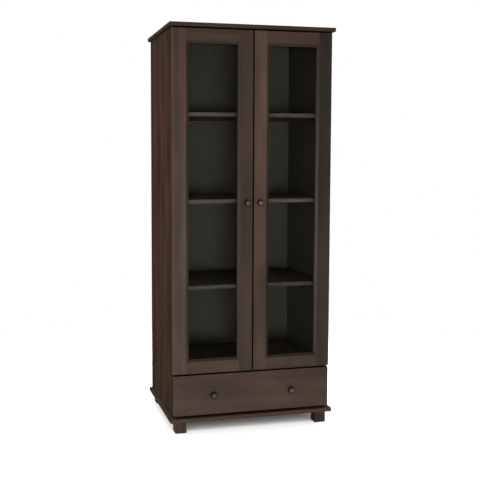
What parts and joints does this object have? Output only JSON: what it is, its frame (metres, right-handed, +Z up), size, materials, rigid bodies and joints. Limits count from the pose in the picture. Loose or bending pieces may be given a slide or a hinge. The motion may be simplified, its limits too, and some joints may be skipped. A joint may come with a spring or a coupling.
{
  "type": "bookcase with glass doors",
  "caption": "Tall stained wooden bookcase with framed glass doors on concealed hinges, loose shelves on pins, a wide drawer below and block feet.",
  "frame": {"origin": "middle of the footprint, on the floor", "axes": "+Z up, +X to the right as one faces the doors, +Y from the doors towards the back"},
  "size_m": [0.8, 0.572, 1.9],
  "materials": {
    "stained_wood": "dark brown stain with a low sheen over fine grain",
    "pale_wood": "bare planed wood",
    "hardboard": "smooth dark board",
    "clear_glass": "clear, polished",
    "steel_fittings": "nickel-plated steel"
  },
  "bodies": {
    "case": {"back_panel": "hardboard", "back_panel_nails": "steel_fittings", "bottom_board": "stained_wood", "cabinet_floor": "stained_wood", "cam_bolts": "steel_fittings", "cam_discs": "steel_fittings", "case_dowels": "pale_wood", "drawer_runner_left": "pale_wood", "drawer_runner_right": "pale_wood", "foot_bolts": "steel_fittings", "foot_front_left": "stained_wood", "foot_front_right": "stained_wood", "foot_rear_left": "stained_wood", "foot_rear_right": "stained_wood", "hinge_arm_pins": "steel_fittings", "hinge_arms": "steel_fittings", "hinge_plate_screws": "steel_fittings", "hinge_plates": "steel_fittings", "runner_screws": "steel_fittings", "shelf_lower": "stained_wood", "shelf_middle": "stained_wood", "shelf_pins": "steel_fittings", "shelf_upper": "stained_wood", "side_panel_left": "stained_wood", "side_panel_right": "stained_wood", "top_board": "stained_wood"},
    "left_hinge_links": {"hinge_links_left": "steel_fittings"},
    "left_door": {"door_left_bottom_rail": "stained_wood", "door_left_glass": "clear_glass", "door_left_glazing_beads": "stained_wood", "door_left_knob": "stained_wood", "door_left_knob_screw": "steel_fittings", "door_left_meeting_stile": "stained_wood", "door_left_outer_stile": "stained_wood", "door_left_top_rail": "stained_wood", "hinge_cup_pins_left": "steel_fittings", "hinge_cup_screws_left": "steel_fittings", "hinge_cups_left": "steel_fittings"},
    "right_hinge_links": {"hinge_links_right": "steel_fittings"},
    "right_door": {"door_right_bottom_rail": "stained_wood", "door_right_glass": "clear_glass", "door_right_glazing_beads": "stained_wood", "door_right_knob": "stained_wood", "door_right_knob_screw": "steel_fittings", "door_right_meeting_stile": "stained_wood", "door_right_outer_stile": "stained_wood", "door_right_top_rail": "stained_wood", "hinge_cup_pins_right": "steel_fittings", "hinge_cup_screws_right": "steel_fittings", "hinge_cups_right": "steel_fittings"},
    "drawer": {"drawer_back": "pale_wood", "drawer_bottom": "hardboard", "drawer_dowels": "pale_wood", "drawer_front": "stained_wood", "drawer_knob_left": "stained_wood", "drawer_knob_right": "stained_wood", "drawer_knob_screws": "steel_fittings", "drawer_side_left": "pale_wood", "drawer_side_right": "pale_wood"}
  },
  "joints": [
    {"name": "left_link_swing", "type": "hinge", "parent": "case", "child": "left_hinge_links", "pos_m": [-0.354, -0.2446, 1.0795], "axis": [0, 0, 1], "range_deg": [0, 52.55]},
    {"name": "left_door_turn", "type": "hinge", "parent": "left_hinge_links", "child": "left_door", "pos_m": [-0.373, -0.2446, 1.0795], "axis": [0, 0, -1], "range_deg": [0, 148]},
    {"name": "right_link_swing", "type": "hinge", "parent": "case", "child": "right_hinge_links", "pos_m": [0.354, -0.2446, 1.0795], "axis": [0, 0, -1], "range_deg": [0, 52.55]},
    {"name": "right_door_turn", "type": "hinge", "parent": "right_hinge_links", "child": "right_door", "pos_m": [0.373, -0.2446, 1.0795], "axis": [0, 0, 1], "range_deg": [0, 148]},
    {"name": "drawer_slide", "type": "slide", "parent": "case", "child": "drawer", "axis": [0, -1, 0], "range_m": [0, 0.34]}
  ],
  "couplings": [
    {"joint": "left_link_swing", "follows": "left_door_turn", "ratio": 0.355},
    {"joint": "right_link_swing", "follows": "right_door_turn", "ratio": 0.355}
  ]
}
